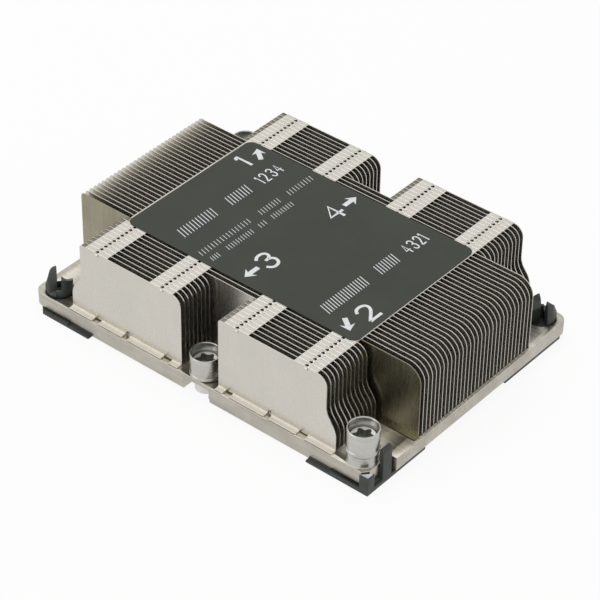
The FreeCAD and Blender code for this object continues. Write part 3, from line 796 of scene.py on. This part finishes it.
def make_fasteners():
    """All four sleeves as one piece, and each nut on its own body."""
    bm = bmesh.new()
    for number in NUTS:
        merge_in(bm, make_sleeve(number))
        make_nut(number)
    finish_piece("sleeves_turned", bm, sleeve_finish, ("nut_sleeves",), smooth=30)


# Label

FILM = 0.13
# Each figure's strokes as how far right and how far up in a unit box, and whether they are curved.
FIGURES = {
    "1": [([(0, 0.82), (0.35, 0.98), (1, 1), (1, 0)], False)],
    "2": [([(0.03, 0.76), (0.15, 0.92), (0.38, 1.0), (0.7, 0.99), (0.94, 0.88), (0.96, 0.68), (0.82, 0.5),
            (0.5, 0.3), (0.22, 0.14), (0, 0)], True),
          ([(0, 0), (1, 0)], False)],
    "3": [([(0.04, 0.83), (0.21, 0.957), (0.475, 1), (0.725, 0.99), (0.925, 0.914), (0.99, 0.784),
            (0.91, 0.647), (0.725, 0.569), (0.41, 0.543)], True),
          ([(0.65, 0.56), (0.875, 0.5), (0.99, 0.37), (0.96, 0.207), (0.825, 0.069), (0.55, 0),
            (0.3, 0.017), (0.125, 0.11), (0, 0.26)], True)],
    "4": [([(0.67, 0), (0.67, 1), (0, 0.355), (1, 0.355)], False)],
}
# Figure, where it starts along Y, the X of its foot line, width and height.
LARGE_FIGURES = (("1", 14.45, -28.85, 1.0, 5.2), ("2", -14.65, 33.3, 4.2, 5.35),
                 ("3", -14.5, 2.8, 4.0, 5.8), ("4", 10.95, 2.45, 4.55, 5.5))
# Each arrow's tip and tail.
ARROWS = (((-32.6, 21.6), (-28.7, 18.7)), ((31.9, -20.5), (27.9, -17.6)), ((0.0, -21.0), (0.0, -16.0)),
          ((-0.3, 21.8), (-0.3, 17.0)))
# Each line's foot along X and its height, then each word's start, end and length, then its small figures.
PRINT_LINES = (
    (-21.2, 3.6, ((-18.4, -3.7, 8), (-0.8, 8.4, 5)), (("1", 11.3), ("2", 12.7), ("3", 15.3), ("4", 17.7))),
    (-13.1, 1.9, ((-21.2, -1.3, 11), (0.9, 9.3, 5), (11.8, 22.6, 6)), ()),
    (-9.75, 1.7, ((-21.0, -16.8, 3), (-15.2, -4.7, 7), (-3.3, 0.3, 2), (1.6, 10.8, 6)), ()),
    (24.25, 3.65, ((-18.7, -1.5, 11), (1.3, 9.8, 5)), (("4", 12.3), ("3", 14.7), ("2", 17.1), ("1", 19.4))),
)


def make_label():
    """The film with rounded corners, and its printed figures and arrows."""
    half_x, half_y, shift_x, shift_y = 71.8 / 2, 46.6 / 2, -0.5, 0.2
    top = BASE_TOP + FIN_HIGH
    bm = bmesh.new()
    corners = [(sign_x * half_x + shift_x, sign_y * half_y + shift_y, 2.2, 6)
               for sign_x, sign_y in ((-1, -1), (1, -1), (1, 1), (-1, 1))]
    faces = flat_face(bm, corners, lambda x, y: (x, y, top))
    thicken(bm, faces, (0, 0, FILM))
    bmesh.ops.recalc_face_normals(bm, faces=bm.faces)
    finish_piece("label_sheet", bm, label_finish, ("label",), smooth=30)
    level = top + FILM
    ink = bmesh.new()
    for figure, start, base, width, height in LARGE_FIGURES:
        draw_figure(ink, figure, start, base, width, height, 0.42, level)
    for base, height, words, figures in PRINT_LINES:
        thick = 0.24 if height > 3 else 0.16
        for first, last, count in words:
            draw_word(ink, first, last, count, base, height, thick, level)
        for figure, start in figures:
            width = 0.3 if figure == "1" else 1.45
            draw_figure(ink, figure, start, base, width, height, 0.2, level)
    for tip, tail in ARROWS:
        draw_arrow(ink, tip, tail, level)
    finish_piece("label_print", ink, print_finish, smooth=30)


def draw_figure(bm, figure, start, base, width, height, half_width, level):
    """One figure on the label, which reads with its top towards the left end."""
    for points, curved in FIGURES[figure]:
        placed = [(base - up * height, start + right * width) for right, up in points]
        draw_stroke(bm, placed, half_width, level, curved)


def draw_word(bm, first, last, count, base, height, thick, level):
    """A row of slanting strokes in place of a printed word."""
    slant = 0.25 * height
    strokes = 1.6 * count
    step = (last - first - slant) / strokes
    for index in range(int(strokes)):
        foot = first + step * index
        part = bmesh.new()
        corners = [(base, foot, 0), (base, foot + thick, 0), (base - height, foot + slant + thick, 0),
                   (base - height, foot + slant, 0)]
        faces = flat_face(part, corners, lambda x, y: (x, y, level))
        thicken(part, faces, (0, 0, 0.015))
        merge_in(bm, part)


def draw_stroke(bm, points, half_width, level, curved):
    """One printed stroke: a thin tube along the points, pressed flat on the film."""
    line = bpy.data.curves.new("stroke", "CURVE")
    line.dimensions = "3D"
    line.bevel_depth = half_width
    line.bevel_resolution = 1
    line.use_fill_caps = True
    spline = line.splines.new("NURBS" if curved else "POLY")
    spline.points.add(len(points) - 1)
    for spot, (x, y) in zip(spline.points, points):
        spot.co = (x, y, 0, 1)
    if curved:
        spline.order_u = 3
        spline.use_endpoint_u = True
        spline.resolution_u = 4
    holder = bpy.data.objects.new("stroke", line)
    mesh = bpy.data.meshes.new_from_object(holder)
    part = bmesh.new()
    part.from_mesh(mesh)
    bmesh.ops.scale(part, vec=(1, 1, 0.01 / half_width), verts=part.verts)
    bmesh.ops.translate(part, vec=(0, 0, level + 0.008), verts=part.verts)
    merge_in(bm, part)
    bpy.data.objects.remove(holder)
    bpy.data.curves.remove(line)
    bpy.data.meshes.remove(mesh)


def draw_arrow(bm, tip, tail, level):
    """A solid arrow from tail to tip, with a barbed head."""
    part = bmesh.new()
    length = math.dist(tip, tail)
    neck, barb = length - 1.95, length - 2.5
    shape = [(0, -0.65, 0), (neck, -0.65, 0), (barb, -1.85, 0), (length, 0, 0), (barb, 1.85, 0),
             (neck, 0.65, 0), (0, 0.65, 0)]
    faces = flat_face(part, shape, lambda x, y: (x, y, 0))
    thicken(part, faces, (0, 0, 0.018))
    turn = math.atan2(tip[1] - tail[1], tip[0] - tail[0])
    bmesh.ops.rotate(part, cent=(0, 0, 0), matrix=Matrix.Rotation(turn, 3, "Z"), verts=part.verts)
    bmesh.ops.translate(part, vec=(tail[0], tail[1], level), verts=part.verts)
    merge_in(bm, part)


# Studio

def make_camera():
    """The camera at the photograph's place, with its focal length in pixels of a frame 600 wide."""
    azimuth, elevation, roll = (math.radians(angle) for angle in (39.164, 38.057, 1.007))
    distance, focal_pixels = 639.857, 2575.913
    target = Vector((-0.873, 1.102, BASE_TOP))
    back = Vector((math.sin(azimuth) * math.cos(elevation), -math.cos(azimuth) * math.cos(elevation),
                   math.sin(elevation)))
    right = Vector((math.cos(azimuth), math.sin(azimuth), 0))
    up = back.cross(right)
    side = right * math.cos(roll) + up * math.sin(roll)
    top = up * math.cos(roll) - right * math.sin(roll)
    lens = bpy.data.cameras.new("camera")
    lens.sensor_width = 36.0
    lens.sensor_fit = "HORIZONTAL"
    lens.lens = focal_pixels / 600 * lens.sensor_width
    lens.clip_start = 0.01
    lens.clip_end = 20.0
    camera = bpy.data.objects.new("camera", lens)
    bpy.context.scene.collection.objects.link(camera)
    spot = (target + back * distance) * MM
    camera.matrix_world = Matrix((
        (side.x, top.x, back.x, spot.x),
        (side.y, top.y, back.y, spot.y),
        (side.z, top.z, back.z, spot.z),
        (0, 0, 0, 1),
    ))
    bpy.context.scene.camera = camera


def seen_directly(tree):
    """One where a ray comes from the camera, a reflection or glass, and nought for plain light."""
    path = add(tree, "LightPath")
    first = add(tree, "Math", {0: path.outputs["Is Camera Ray"], 1: path.outputs["Is Glossy Ray"]},
                operation="MAXIMUM")
    return add(tree, "Math", {0: first.outputs[0], 1: path.outputs["Is Transmission Ray"]},
               operation="MAXIMUM").outputs[0]


def make_world():
    """Soft light from all round, and a white background for what sees it directly."""
    world = bpy.data.worlds.new("studio")
    world.use_nodes = True
    tree = world.node_tree
    tree.nodes.clear()
    soft = add(tree, "Background", {"Color": (1.0, 0.99, 0.97, 1), "Strength": 0.62})
    white = add(tree, "Background", {"Color": (1, 1, 1, 1), "Strength": 1.0})
    mix = add(tree, "MixShader", {0: seen_directly(tree), 1: soft.outputs[0], 2: white.outputs[0]})
    out = add(tree, "OutputWorld")
    tree.links.new(mix.outputs[0], out.inputs["Surface"])
    bpy.context.scene.world = world


def make_floor():
    """A plain white floor that keeps the object's soft shadow."""
    bm = bmesh.new()
    bmesh.ops.create_grid(bm, x_segments=1, y_segments=1, size=3.0)
    bmesh.ops.translate(bm, vec=(0, 0, -0.00003), verts=bm.verts)
    mesh = bpy.data.meshes.new("floor")
    bm.to_mesh(mesh)
    bm.free()
    floor = bpy.data.objects.new("floor", mesh)
    bpy.context.scene.collection.objects.link(floor)
    finish = bpy.data.materials.new("white_floor")
    finish.use_nodes = True
    tree = finish.node_tree
    tree.nodes.clear()
    plain = add(tree, "BsdfDiffuse", {"Color": (0.9, 0.9, 0.9, 1)})
    glow = add(tree, "Emission", {"Color": (1, 1, 1, 1), "Strength": 1.0})
    share = add(tree, "Math", {0: seen_directly(tree), 1: 0.9}, operation="MULTIPLY")
    mix = add(tree, "MixShader", {0: share.outputs[0], 1: plain.outputs[0], 2: glow.outputs[0]})
    out = add(tree, "OutputMaterial")
    tree.links.new(mix.outputs[0], out.inputs["Surface"])
    mesh.materials.append(finish)


def make_lamp(name, spot, size, power):
    """A broad soft lamp aimed at the object."""
    lamp = bpy.data.lights.new(name, "AREA")
    lamp.shape = "DISK"
    lamp.size = size
    lamp.energy = power
    holder = bpy.data.objects.new(name, lamp)
    bpy.context.scene.collection.objects.link(holder)
    holder.location = spot
    holder.rotation_euler = (Vector((0, 0, 0)) - Vector(spot)).to_track_quat("-Z", "Y").to_euler()


bpy.context.scene.view_settings.view_transform = "Standard"
make_camera()
make_world()
make_floor()
make_lamp("overhead", (-0.15, 0.1, 0.9), 0.7, 2.6)
make_lamp("front_left", (-0.65, -0.8, 0.8), 0.8, 2.3)

make_fins()
make_plate()
make_carrier()
make_post_tops()
make_fasteners()
make_label()
